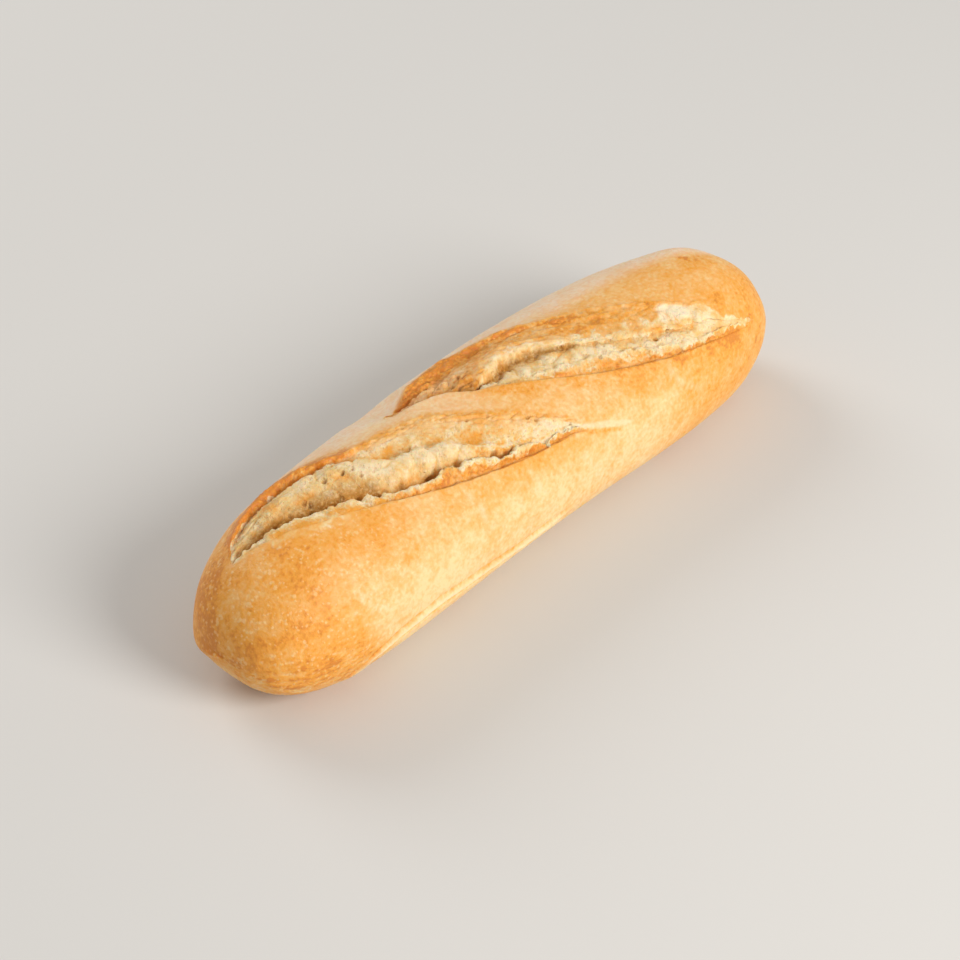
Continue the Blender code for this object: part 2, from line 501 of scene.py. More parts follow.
def wander(x, sizes, seed):
    """A ragged run of values along x, about -1 to 1."""
    total = np.zeros(len(x))
    for share, size in sizes:
        total += share * np.array([noise.noise(Vector((at / size, seed, 7.3))) for at in x])
    return total


def soften(values):
    """Values along a line with their corners rounded."""
    reach = int(LINE_SOFTENING / LINE_STEP)
    weights = np.hanning(2 * reach + 3)[1:-1]
    padded = np.pad(values, reach, mode="edge")
    return np.convolve(padded, weights / weights.sum(), mode="valid")


class Score:
    """An opened score, as lines that run along the loaf side by side."""

    def __init__(self, lines, raggedness, seed):
        self.start = lines["lip"][0][0]
        self.end = lines["lip"][-1][0]
        self.x = np.arange(self.start, self.end + LINE_STEP, LINE_STEP)
        self.holds = [HOLD.get(name, 1.0) for name in ("above", *lines)]
        ends = smooth_step((self.x - self.start) / START_FADE)
        ends *= smooth_step((self.end - self.x) / END_FADE)
        turns, heights, leans = [], [], []
        for number, (name, points) in enumerate(lines.items()):
            x, turn, height = np.array(points, float).T
            ragged = wander(self.x, RAGS, seed + number * RAG_SEEDS)
            lift = wander(self.x, LIFTS, seed + number * LIFT_SEEDS + FIRST_LIFT_SEED)
            amount = WANDER[name] * raggedness * ends
            turns.append(soften(np.interp(self.x, x, turn)) + ragged * amount)
            heights.append(soften(np.interp(self.x, x, height)) + lift * amount * LIFT)
            leaning = np.interp(self.x, LIP_STATIONS, LIP_LEANS) if name == "lip" else 1.0
            leans.append(LEAN.get(name, 0.0) * leaning * ends)
        leans[0] = leans[0] * smooth_step(-heights[1] / DEEP_ENOUGH)
        nothing = np.zeros(len(self.x))
        above = turns[0] + SHOULDER + UPPER_SHOULDER * ends
        below = turns[-1] - SHOULDER - LOWER_SHOULDER * ends
        turns = [above, *turns, below]
        for before, after in zip(turns, turns[1:]):
            np.minimum(after, before - LEAST_GAP, out=after)
        openness = smooth_step((turns[1] - turns[-2]) / WIDE_OPEN)
        self.turns = turns
        self.heights = [nothing, *(height * openness for height in heights), nothing]
        self.leans = [nothing, *(lean * openness for lean in leans), nothing]

    def read(self, x, turn):
        """(height, lean, line number) at stations and turns; the line number is -1 off the score."""
        height, lean, line = np.zeros(len(x)), np.zeros(len(x)), np.full(len(x), -1.0)
        along = (x > self.start) & (x < self.end)
        before = np.interp(x, self.x, self.turns[0])
        for i in range(len(self.turns) - 1):
            after = np.interp(x, self.x, self.turns[i + 1])
            here = along & (turn <= before) & (turn > after)
            share = ((before - turn) / (before - after))[here]
            ease = smooth_step(share ** self.holds[i])
            for value, rows in ((height, self.heights), (lean, self.leans)):
                one, other = (np.interp(x[here], self.x, row) for row in rows[i:i + 2])
                value[here] = one + (other - one) * ease
            line[here] = i + share
            before = after
        return height, lean, line

    def across(self, x, turn):
        """Millimetres from the middle of the score, which its strands run along."""
        middle = np.interp(x, self.x, (self.turns[1] + self.turns[-2]) / 2)
        return (turn - middle) * DEGREE / MM

    def below(self, x, turn):
        """Degrees below the score's last line."""
        return np.interp(x, self.x, self.turns[-2]) - turn

    def near(self, x, turn, margin):
        """Whether places lie on the score or within a margin (mm) of it."""
        high = np.interp(x, self.x, self.turns[1]) + margin * MM / DEGREE
        low = np.interp(x, self.x, self.turns[-2]) - margin * MM / DEGREE
        along = (x > self.start - margin) & (x < self.end + margin)
        return along & (turn < high) & (turn > low)


# ---------------------------------------------------------------- paint

# Stripes along a score: (mask, line, reach in lines, first station, last station, fade, strength).
# Stripes of the two shade masks, deep and warm, are painted shade in the valleys, grooves and
# cracks; the broad warm ones near the tips also tan the crumb.
NEAR_PAINT = (
    ("toast", 0.9, 1.3, -104, -58, 8, 1.3),
    ("toast", 1.0, 0.8, -60, 10, 12, 0.40),
    ("toast", 2.6, 1.0, -60, 0, 10, 0.22),
    ("toast", 3.5, 0.5, -100, -58, 8, 0.55),
    ("toast", 3.5, 0.4, -56, -8, 8, 0.60),
    ("toast", 6.7, 0.9, -66, 14, 10, 0.75),
    ("toast", 6.4, 0.8, -100, -78, 6, 0.30),
    ("hollow", 1.9, 0.45, -100, -60, 6, 0.35),
    ("hollow", 3.0, 0.4, -58, -20, 6, 0.25),
    ("hollow", 4.95, 0.55, -110, -62, 6, 0.90),
    ("hollow", 5.0, 0.35, -60, -8, 8, 0.32),
    ("hollow", 7.0, 0.25, -64, 16, 6, 0.45),
    ("toast", 4.3, 0.6, -20, 6, 8, 0.65),
    ("cavity", 5.0, 0.6, -112, -10, 8, 0.70),
    ("cavity", 7.4, 1.6, -108, -64, 8, 0.85),
    ("cavity", 4.6, 2.4, -112, -70, 14, 0.38),
    ("cavity", 2.8, 0.8, -62, -12, 8, 0.40),
    ("pale", 5.8, 0.3, -74, 6, 6, 0.2),
)
FAR_PAINT = (
    ("toast", 1.4, 0.8, -32, 44, 8, 1.10),
    ("toast", 2.1, 1.3, -34, 0, 8, 0.90),
    ("toast", 2.0, 1.2, 0, 32, 10, 0.50),
    ("toast", 3.0, 1.0, -34, -2, 8, 0.85),
    ("toast", 2.5, 0.7, 0, 44, 8, 0.60),
    ("toast", 2.0, 1.6, 34, 70, 8, 0.30),
    ("toast", 6.6, 0.7, 14, 84, 10, 0.50),
    ("toast", 8.0, 1.0, -2, 90, 10, 0.22),
    ("hollow", 1.9, 0.5, -4, 34, 8, 0.25),
    ("hollow", 3.3, 1.1, -33, -4, 5, 0.80),
    ("hollow", 4.0, 0.40, 0, 36, 5, 0.80),
    ("hollow", 4.0, 0.5, 36, 76, 6, 0.25),
    ("hollow", 7.0, 0.25, 4, 70, 10, 0.40),
    ("cavity", 4.0, 0.7, 0, 80, 8, 0.40),
    # A painted highlight: a paler stripe along the middle of the far score's wall.
    ("pale", 2.3, 0.4, -27, 0, 6, 0.30),
    ("cavity", 3.2, 0.7, 58, 78, 6, 0.40),
    ("cavity", 4.0, 4.0, 88, 112, 8, 0.35),
)
# Soft marks: (mask, station, turn, reach along mm, reach across mm, degrees per mm, strength).
SMUDGES = (
    ("pale", 26, -62.5, 14, 1.7, -0.75, 0.45),
    ("toast", 22, -64, 12, 1.3, -0.75, 0.55),
    ("toast", 100, 4, 2.8, 1.7, 0.0, 1.6),
    ("toast", 103, 0, 8, 3.0, 0.0, 0.25),
    ("pale", 77, -26, 7.2, 3.3, -1.1, 1.0),
    ("pale", 71, -24, 2.6, 2.2, 0.0, 0.9),
    ("toast", 6, -17, 11, 1.8, -0.8, 0.42),
    ("toast", 30, -38, 12, 1.8, -0.8, 0.35),
    ("toast", -30, 3, 10, 1.6, -0.6, 0.32),
    ("toast", 66, -29, 5.0, 2.0, -1.0, 0.35),
)
# How baked the crust is, 0 straw, 0.5 golden, 1 toasted: a level all over, and areas that differ,
# each (change, first station, last station, fade, first turn, last turn, fade).
BAKED = 0.50
BAKED_AREAS = (
    (0.26, -135, -110, 26, -90, 90, 44),
    (0.13, -135, -122, 15, 44, 140, 52),
    (-0.15, -124, -113, 8, -26, 8, 28),
    (-0.37, -66, 38, 34, -132, -80, 34),
    (-0.34, -70, 78, 36, 100, 140, 30),
    (-0.14, -30, 60, 30, 60, 92, 20),
    (0.12, -96, -66, 18, 56, 92, 20),
    (-0.18, -52, 34, 16, -40, 22, 14),
    (0.16, 84, 130, 14, -90, -36, 20),
)
# The paler crust with its painted sheen starts this far round, as (station, turn).
PALE_SHEEN_EDGE = (
    (-110, 60), (-70, 46), (-56, 24), (-36, 20), (-24, 34), (20, 30), (50, 16), (90, 16), (112, 6),
)
# What is stored on the mesh for the material's colours to follow.
MASKS = ("crumb", "toast", "hollow", "pale", "cavity", "bake", "dusky", "freckle", "torn", "wrinkle")

# Open pores and pockets that were torn across: (station, turn, radius mm, depth mm).
HOLES = (
    (-71, 9, 0.9, 0.9), (-65, 5, 0.8, 0.8), (-62, 2, 0.8, 0.8), (-62, -3, 0.8, 0.7),
    (-81, 10, 1.0, 1.2), (-80, 7, 1.1, 1.4), (-82, 4, 0.9, 1.2), (-88, 10, 1.1, 1.2),
    (-95, 13, 1.0, 1.1), (-103, 15, 1.0, 1.0), (-55, 8, 0.6, 0.5), (-40, -5, 0.8, 0.6),
    (-18, -14, 0.7, 0.5), (0, -32, 0.9, 0.7), (2, -37, 0.9, 0.7), (-19, -41, 1.8, 1.0),
    (-43, -28, 1.8, 1.2), (-53, -20, 0.8, 0.8), (-59, -16, 1.0, 0.8), (12, -50, 0.7, 0.5),
    (-9, 21, 0.9, 0.9), (-9, 10, 1.0, 1.0), (-3, 8, 1.1, 1.1), (-20, 15, 1.1, 1.0),
    (9, 0.5, 1.2, 0.9), (13, 1.5, 1.2, 1.0), (18, 3, 1.0, 0.8), (25, -0.5, 0.9, 0.8),
    (33, -7, 1.0, 0.9), (69, -33, 0.8, 0.6), (63, -34, 0.9, 0.8), (39, -28, 0.9, 0.7),
    (47, -30, 0.8, 0.7), (-24, 19, 1.0, 0.9), (-16, 17, 0.9, 1.0), (-13, 22, 0.8, 0.7),
    (-6, 15, 0.9, 0.8), (-18, 23, 0.8, 0.6), (-1, 18, 0.8, 0.7),
)
# Swellings and hollows of the whole loaf: (station, turn, reach mm, reach degrees, height mm).
SWELLINGS = (
    (-28, 40, 15, 30, -2.2), (-24, 35, 13, 26, -1.8), (-123, 112, 15, 36, 1.1),
    (119, -82, 16, 42, 1.0), (107, 24, 16, 22, 1.0), (50, 40, 12, 16, -0.4),
)
# The seam along the foot of the -Y flank, as (station, turn).
SEAM = (
    (-112, -131), (-99, -122), (-90, -106), (-79, -99), (-61, -96), (-41, -99), (-21, -103),
    (0, -103),
)
# Pale marks where the crust stretched: (station, turn) at the top and at the foot.
STRETCH_MARKS = (
    (-38, -46, -33, -76), (12, -68, 23, -96), (-92, -48, -84, -78), (60, -52, 70, -82),
    (-12, -58, -6, -80),
)
# Nothing rises much above this, which is just over the frame's own height.
CEILING = HIGH[2] + 0.4 * MM

# Where bare crumb shows on each score: the line it starts at and its fade, the line it ends at and
# its fade, and its stations and their fade. The far score's start counts from TOASTED_WALL.
NEAR_CRUMB_FROM = (1.35, 1.7)
NEAR_CRUMB_TO = (6.2, 0.4)
NEAR_CRUMB_STATIONS = (-108, 12, 12)
FAR_CRUMB_FROM = (-0.35, 1.2)
FAR_CRUMB_TO = (6.3, 0.5)
FAR_CRUMB_STATIONS = (-30, 96, 14)
# Near the near tip the crumb starts sooner, ends softer, and reaches lower over a ledge.
TIP = (-58, 8)
TIP_SOONER = 1.2
TIP_SOFTER = 1.7
LEDGE = (-66, 12)
LEDGE_LINES = 0.9
# The far score's first line with crumb, as (station, line): its upper wall stayed toasted.
TOASTED_WALL = (
    (-4, 3.4), (2, 3.0), (26, 3.0), (40, 2.6), (56, 2.4), (72, 2.6), (75, 2.2), (77, 1.3),
    (86, 1.4), (94, 2.4), (104, 3.2),
)


def along_line(x, points):
    """The second of each pair of values, read at stations along the first."""
    return np.interp(x, *np.array(points, float).T)


def towards_tip(x, place):
    """0 at a station, and 1 some way nearer the near tip; place is (station, that way)."""
    return smooth_step((place[0] - x) / place[1])


def crumb_on_near(x, line):
    """How much bare crumb shows on the near score."""
    first, blur = NEAR_CRUMB_FROM
    at_tip = towards_tip(x, TIP)
    opened = smooth_step((line - first) / (blur - TIP_SOONER * at_tip))
    last, blur = NEAR_CRUMB_TO
    last = last + LEDGE_LINES * towards_tip(x, LEDGE)
    closed = smooth_step((last - line) / (blur + TIP_SOFTER * at_tip) + 1)
    return opened * closed * window(x, *NEAR_CRUMB_STATIONS)


def crumb_on_far(x, line):
    """How much bare crumb shows on the far score, whose upper wall stayed toasted."""
    first, blur = FAR_CRUMB_FROM
    opened = smooth_step((line - along_line(x, TOASTED_WALL) - first) / blur)
    last, blur = FAR_CRUMB_TO
    return opened * smooth_step((last - line) / blur + 1) * window(x, *FAR_CRUMB_STATIONS)


# ---------------------------------------------------------------- shaping

# Lumps of the torn surfaces, as (share, mm): of the crumb, its strands and the toasted flakes.
PUFFS = ((1.0, 7.5), (0.30, 3.2), (0.13, 1.5))
STRANDS = ((0.60, 1.9), (0.30, 1.0))
FLAKES = ((0.55, 2.4), (0.30, 1.1))
# How much longer strands and flakes are along the score, across it and upwards.
STRAND_STRETCH = (5.0, 1.0, 3.0)
FLAKE_STRETCH = (2.4, 1.0, 2.0)
# A lump's rise and how far it sinks between lumps, how wide its creases are, and how much stronger
# they are than its share.
PUFF_RISE = 2.2
PUFF_SINK = 0.5
CREASE = 0.11
CREASE_GAIN = 0.1
# Small pores: spacing (mm), depth in the crumb and in the flakes (mm), the largest and the least
# reach as shares of the spacing, and two numbers that mix which are missing and which are small.
PORE_SPACING = 2.3
PORE_DEPTH = 0.6
FLAKE_PORES = 0.4
PORE_REACH = 0.42
LEAST_PORE = 0.02
PORE_MISSING = 37.0
PORE_MIX = 0.5
# The loaf's own gentle lumps and their height (mm), and the lumps that make painted edges ragged.
DOUGH_LUMPS = ((0.40, 38), (0.2, 15))
DOUGH_HEIGHT = 0.6
RAGGED_EDGES = ((0.55, 4.2), (0.35, 1.7))
SMUDGE_RAGS = 0.5
SMUDGE_EDGE = 1.8
# The loaf's sole starts this far round, in degrees, and has no lumps.
SOLE = (105, 20)
# Where the tearing is shaped, lines are counted from 1, and the second score's from this much
# more, to tell the two apart.
APART = 20
# A score is torn between these lines, and between these stations counted from its own ends.
TORN_LINES = (0.6, 7.8, 0.5)
TORN_STATIONS = (5, -30, 14)
# The strands take over from the puffs between these stations.
STRANDED = (-112, -92, 12)
# Where the tearing is calmer or rougher: (change, first station, last, fade, line, reach), and the
# same for the ledge by the near tip, which starts at its line and goes on.
CALMER = ((-0.45, -58, 4, 8, 3.5, 1.3), (1.1, -30, -4, 6, APART + 3.4, 1.6))
CALM_LEDGE = (-0.6, -112, -72, 8, 6.6, 0.8)
# The surface is roughened where it is torn more than this.
TORN_ENOUGH = 0.02
# Where strands take over: how much puffs, and how much pores and creases fade there, and how much
# of the strands and of their furrows shows elsewhere.
PUFFS_FADE = 0.7
PORES_FADE = 0.6
STRAND_SHARE = 0.25
FURROW_SHARE = 0.3
# How much painted shade creases in the crumb, cracks in the toasted crust and pores get.
CREASE_SHADE = 0.35
CRACK_SHADE = 0.4
CRACK_PORE_SHADE = 0.6
PORE_EDGE = 1.8
# The larger pores, in shares of their radius: how far they act, their ragged edge and their rim.
# Then how much painted shade they get.
HOLE_REACH = 1.6
HOLE_WARP = ((0.45, 1.3),)
HOLE_RIM = 1.25
HOLE_SHADE = 0.75
# Faces are split within these distances (mm) of a score, one pass each, and of the seam at first.
REFINED = (3.5, 1.0)
SEAM_REFINED = (-100, 6, 8)
SEEDS = {
    "near": 1.0, "far": 90.0, "edges": 61.0, "dough": 3.0, "puffs": 11.0, "strands": 23.0,
    "flakes": 47.0, "pores": 5.0, "creases": 31.0,
}


def numbers(items, name):
    """One vector of each item, as the rows of an array."""
    found = np.empty(len(items) * 3)
    items.foreach_get(name, found)
    return found.reshape(-1, 3)


def put_places(mesh, places):
    """Moves a mesh's vertices."""
    mesh.vertices.foreach_set("co", places.astype(np.float32).ravel())
    mesh.update()


def store(mesh, name, values):
    """Stores one value for each vertex, for the material to read."""
    attribute = mesh.attributes.new(name, "FLOAT", "POINT")
    attribute.data.foreach_set("value", values.astype(np.float32))


def select_faces(piece, chosen):
    """Leaves the piece in edit mode with exactly these faces selected."""
    bpy.ops.mesh.select_mode(type="FACE")
    bpy.ops.mesh.select_all(action="DESELECT")
    bpy.ops.object.mode_set(mode="OBJECT")
    piece.data.polygons.foreach_set("select", chosen)
    bpy.ops.object.mode_set(mode="EDIT")


def ball_places(points, body):
    """Station (mm) and turn (degrees) of points on the unit ball that the loaf is shaped from."""
    points = points / np.linalg.norm(points, axis=1)[:, None]
    share = np.arccos(np.clip(-points[:, 0], -1, 1)) / pi
    round_it = np.arctan2(points[:, 1], points[:, 2])
    turn = np.degrees(round_it - CROWDING * np.sin(round_it))
    return body.station(share) / MM, turn


def on_seam(x, turn):
    """Whether places lie near the seam."""
    first, last, margin = SEAM_REFINED
    return (np.abs(turn - along_line(x, SEAM)) < margin) & (x > first) & (x < last)


def add_dough(loaf, body, scores):
    """A ball with its poles at the loaf's tips, and finer faces where the scores and seam are."""
    bpy.ops.object.select_all(action="DESELECT")
    bpy.ops.mesh.primitive_uv_sphere_add(
        segments=loaf.segments, ring_count=loaf.rings, radius=1, rotation=(0, pi / 2, 0)
    )
    bpy.ops.object.transform_apply(location=True, rotation=True, scale=True)
    dough = bpy.context.active_object
    dough.name = dough.data.name = "baguette"
    for margin in REFINED:
        x, turn = ball_places(numbers(dough.data.polygons, "center"), body)
        chosen = [score.near(x, turn, margin) for score in scores]
        if margin == REFINED[0]:
            chosen.append(on_seam(x, turn))
        bpy.ops.object.mode_set(mode="EDIT")
        select_faces(dough, np.any(chosen, axis=0))
        bpy.ops.mesh.subdivide(number_cuts=1, ngon=False)
        bpy.ops.object.mode_set(mode="OBJECT")
    return dough


def noise_at(points, size, seed, stretch=(1.0, 1.0, 1.0)):
    """Soft random values, -1 to 1, at points in metres, in lumps of the given size in mm."""
    shift = Vector((seed, seed * 1.7, -seed))
    scaled = points / MM / size / np.array(stretch)
    return np.array([noise.noise(Vector(p) + shift) for p in scaled])


def field(points, sizes, seed, stretch=(1.0, 1.0, 1.0)):
    """Rolling lumps, about -1 to 1; sizes are (share, lump size in mm)."""
    return sum(share * noise_at(points, size, seed, stretch) for share, size in sizes)


def puffs(points, sizes, seed, stretch=(1.0, 1.0, 1.0)):
    """(height, crease): puffy lumps that meet in sharp creases, and 1 along the creases."""
    height, crease = np.zeros(len(points)), np.zeros(len(points))
    for share, size in sizes:
        value = np.abs(noise_at(points, size, seed, stretch))
        height += share * (PUFF_RISE * value - PUFF_SINK)
        depth = min(1.0, share + CREASE_GAIN)
        crease = np.maximum(crease, depth * smooth_step(1 - value / CREASE))
    return height, crease


def pores(points, spacing, seed):
    """How deep each point lies in a pore, 0 to 1, with pores of mixed size and some missing."""
    shift = Vector((seed, -seed, seed * 0.3))
    depth = np.zeros(len(points))
    for i, p in enumerate(points / MM / spacing):
        distances, centres = noise.voronoi(Vector(p) + shift)
        reach = PORE_REACH * max(0.0, noise.cell(centres[0] * PORE_MISSING))
        reach = max(reach * (0.5 + noise.noise(centres[0] * PORE_MIX)), LEAST_PORE)
        depth[i] = max(0.0, 1 - distances[0] / reach)
    return depth


def add_smudges(x, turn, masks, ragged):
    """Adds the soft marks to the masks."""
    for mask, station, at, along, across, slant, strength in SMUDGES:
        off = (turn - at - slant * (x - station)) * DEGREE / MM / across
        reach = np.hypot((x - station) / along, off) + ragged * SMUDGE_RAGS
        masks[mask] = np.maximum(masks[mask], strength * smooth_step((1 - reach) * SMUDGE_EDGE))


def torn_part(score, x, line):
    """1 where a score is torn, fading to 0 at its outer lines and at its ends."""
    first, last, blur = TORN_LINES
    inside = smooth_step((line - first) / blur) * smooth_step((last - line) / blur)
    start, end, fade = TORN_STATIONS
    return inside * window(x, score.start + start, score.end + end, fade)


def swollen(x, turn):
    """Height of the swellings and hollows of the whole loaf, in mm."""
    height = np.zeros(len(x))
    for station, at, reach, spread, rise in SWELLINGS:
        height += rise * smooth_step(1 - np.hypot((x - station) / reach, (turn - at) / spread))
    return height


def tear_open(dough, body, scores, paints, crumbs):
    """Presses the scores into the loaf and returns the masks that its colours follow."""
    x, turn = ball_places(numbers(dough.data.vertices, "co"), body)
    smooth = body.place(x * MM, turn)
    put_places(dough.data, smooth)
    outward = numbers(dough.data.vertex_normals, "vector")
    masks = {name: np.zeros(len(x)) for name in MASKS}
    height, lean = np.zeros((2, len(x)))
    flow = np.zeros((2, len(x)))
    ragged = field(smooth, RAGGED_EDGES, SEEDS["edges"])
    for number, (score, paint, crumb_on) in enumerate(zip(scores, paints, crumbs)):
        rise, tilt, line = score.read(x, turn)
        height += rise
        lean += tilt
        on_it = line >= 0
        for mask, at, reach, first, last, fade, strength in paint:
            value = strength * band(line, at, reach) * window(x, first, last, fade) * on_it
            masks[mask] = np.maximum(masks[mask], value)
        masks["crumb"] = np.maximum(masks["crumb"], crumb_on(x, line + ragged) * on_it)
        flow += np.array([line + 1 + number * APART, score.across(x, turn)]) * on_it
        masks["torn"] = np.maximum(masks["torn"], torn_part(score, x, line))
    add_smudges(x, turn, masks, ragged)
    puff = field(smooth, DOUGH_LUMPS, SEEDS["dough"])
    sole = smooth_step((np.abs(turn) - SOLE[0]) / SOLE[1])
    places = body.place(x * MM, turn + lean)
    rise = height + puff * (1 - sole) * DOUGH_HEIGHT + swollen(x, turn)
    put_places(dough.data, places + outward * (rise * MM)[:, None])
    return x, turn, flow, masks


def open_holes(dough, body, x, turn, masks):
    """Presses the larger torn pores in."""
    smooth = body.place(x * MM, turn)
    places = numbers(dough.data.vertices, "co")
    outward = numbers(dough.data.vertex_normals, "vector")
    for station, round_it, radius, depth in HOLES:
        centre = body.place(np.array([station * MM]), np.array([round_it]))[0]
        distance = np.linalg.norm(smooth - centre, axis=1) / MM
        here = np.flatnonzero(distance < radius * HOLE_REACH)
        warp = field(smooth[here], HOLE_WARP, station)
        sunk = smooth_step(HOLE_RIM - distance[here] / radius + warp)
        places[here] -= outward[here] * (depth * sunk * MM)[:, None]
        # Painted shade deep in each pore.
        masks["hollow"][here] = np.maximum(masks["hollow"][here], HOLE_SHADE * sunk)
    put_places(dough.data, places)


def calmness(x, line):
    """How strongly the tearing shows, 1 being as on most of the crumb."""
    change, first, last, fade, at, blur = CALM_LEDGE
    ledge = window(x, first, last, fade) * smooth_step((line - at) / blur) * (line < APART)
    calm = 1 + change * ledge
    for change, first, last, fade, at, reach in CALMER:
        calm += change * window(x, first, last, fade) * band(line, at, reach)
    return calm


def roughen_crumb(dough, x, flow, masks, raggedness):
    """Puffs, torn strands and pores in the bare crumb, and flakes on the toasted torn crust."""
    bare = np.flatnonzero(masks["torn"] > TORN_ENOUGH)
    places = numbers(dough.data.vertices, "co")
    outward = numbers(dough.data.vertex_normals, "vector")
    here = places[bare]
    crumb, torn = masks["crumb"][bare], masks["torn"][bare]
    toasted = 1 - crumb
    strands = window(x[bare], *STRANDED)
    line, across = flow[:, bare]
    along = np.stack([x[bare], across, here[:, 2] / MM], 1) * MM
    lumps, creases = puffs(here, PUFFS, SEEDS["puffs"])
    streaks, furrows = puffs(along, STRANDS, SEEDS["strands"], STRAND_STRETCH)
    flakes, cracks = puffs(along, FLAKES, SEEDS["flakes"], FLAKE_STRETCH)
    holes = pores(here, PORE_SPACING, SEEDS["pores"]) * (1 - PORES_FADE * strands)
    stranded = streaks * (STRAND_SHARE + strands * (1 - STRAND_SHARE))
    soft = lumps * (1 - PUFFS_FADE * strands) + stranded - PORE_DEPTH * holes
    flaky = flakes - FLAKE_PORES * holes
    rough = (soft * crumb + flaky * toasted) * torn * calmness(x[bare], line)
    places[bare] += outward[bare] * (rough * raggedness * MM)[:, None]
    put_places(dough.data, places)
    # Painted shade: warm in the crumb's creases and the toasted cracks, darker in those cracks and
    # in the pores.
    furrowed = furrows * (FURROW_SHARE + (1 - FURROW_SHARE) * strands)
    creased = np.maximum(creases * (1 - PORES_FADE * strands), furrowed)
    shaded = CREASE_SHADE * creased * crumb + CRACK_SHADE * cracks * toasted
    masks["cavity"][bare] += shaded * torn
    crack_and_pore_shade = CRACK_PORE_SHADE * np.maximum(cracks * toasted, smooth_step(holes * PORE_EDGE)) * torn
    masks["hollow"][bare] = np.maximum(masks["hollow"][bare], crack_and_pore_shade)


# A blush of well baked crust below each score: its reach (degrees), strength, and where it stops.
BLUSH = (26, 0.13)
BLUSH_EDGE = 2
BLUSH_STATIONS = (34, -24, 20)
# The paler crust with its painted sheen: its fade round the loaf, its stations, where it ends low on
# the back, and how it crosses the crown between the scores.
PALE_SHEEN_FADE = 18
PALE_SHEEN_STATIONS = (-104, 116, 14)
PALE_SHEEN_END = (78, 30)
BRIDGE = (-58, -18, 20)
BRIDGE_EDGE = 6
BRIDGE_SHARE = 0.36
# Freckles: their share all over, and the stations where they grow to their full number.
FRECKLED = 0.25
FRECKLE_STATIONS = (-40, 50)


def colour_zones(x, turn, masks, scores):
    """How baked, where the paler crust with its painted sheen lies, and how freckled the crust is,
    place by place.
    """
    crust = 1 - masks["torn"]
    baked = np.full(len(x), BAKED)
    for change, first, last, fade, low, high, blur in BAKED_AREAS:
        baked += change * window(x, first, last, fade) * window(turn, low, high, blur)
    reach, strength = BLUSH
    start, end, fade = BLUSH_STATIONS
    for score in scores:
        below = score.below(x, turn)
        blush = smooth_step(1 - below / reach) * smooth_step(below / BLUSH_EDGE + 1)
        baked += strength * blush * window(x, score.start + start, score.end + end, fade)
    masks["bake"] = baked
    edge = along_line(x, PALE_SHEEN_EDGE)
    pale_sheen_zone = smooth_step((turn - edge) / PALE_SHEEN_FADE + 0.5) * window(x, *PALE_SHEEN_STATIONS)
    above = turn - np.interp(x, scores[0].x, scores[0].turns[1])
    bridge = window(x, *BRIDGE) * smooth_step(above / BRIDGE_EDGE)
    pale_sheen_zone = np.maximum(pale_sheen_zone * smooth_step((PALE_SHEEN_END[0] - turn) / PALE_SHEEN_END[1]), BRIDGE_SHARE * bridge)
    masks["dusky"] = pale_sheen_zone * crust * (1 - np.minimum(masks["toast"], 1.0))
    many = towards_tip(x, FRECKLE_STATIONS)
    masks["freckle"] = (FRECKLED + (1 - FRECKLED) * many) * crust


# The seam: its stations, then its ridge and the grooves beside it, each (height mm, degrees from the
# seam, reach in degrees), how pale the ridge is, and the painted shade, in the toasted colour, in
# each groove.
SEAM_STATIONS = (-92, -8, 16)
SEAM_RIDGE = (0.9, 0.0, 2.6)
LOWER_GROOVE = (-0.7, -4.4, 2.8)
UPPER_GROOVE = (-0.45, 3.4, 2.0)
SEAM_PALE = (0.75, 0.0, 2.0)
LOWER_GROOVE_SHADE = (0.55, -4.4, 2.8)
UPPER_GROOVE_SHADE = (0.6, 3.4, 1.8)
# Creases round the foot of the near end: height, lump size and stretch, and where they are.
CREASE_HEIGHT = 0.24
CREASE_LUMPS = ((1.0, 2.4),)
CREASE_STRETCH = (1.0, 1.0, 3.5)
FOOT = (-84, 26)
FOOT_TURNS = (-150, -70, 26)
WRINKLED = (-78, 26)
WRINKLED_TURNS = (-152, -96, 22)
# Stretch marks: reach (mm), height (mm), how pale, their ends, and how they wave (mm).
MARK_REACH = 1.1
MARK_HEIGHT = 0.16
MARK_PALE = 0.42
MARK_ENDS = (0.15, 0.85, 0.25)
MARK_WAVE = 0.8
MARK_WAVES = 5


def seam_stripe(x, turn, stripe):
    """A stripe along the seam; stripe is (strength, degrees from the seam, reach)."""
    strength, off, reach = stripe
    return strength * band(turn, along_line(x, SEAM) + off, reach)


def stretch_mark(x, turn, ends):
    """1 along one stretch mark."""
    station, high, end_station, low = ends
    share = (high - turn) / (high - low)
    wave = MARK_WAVE * np.sin(MARK_WAVES * share + station)
    middle = station + (end_station - station) * share**2 + wave
    return band(x, middle, MARK_REACH) * window(share, *MARK_ENDS)


def keep_inside(places):
    """Eases places that rise past the ceiling back to it, and keeps the sole on the floor."""
    above = np.maximum(places[:, 2] - CEILING, 0.0)
    places[:, 2] = np.where(above > 0, CEILING + MM * np.tanh(above / MM), places[:, 2])
    places[:, 2] = np.maximum(places[:, 2], 0.0)


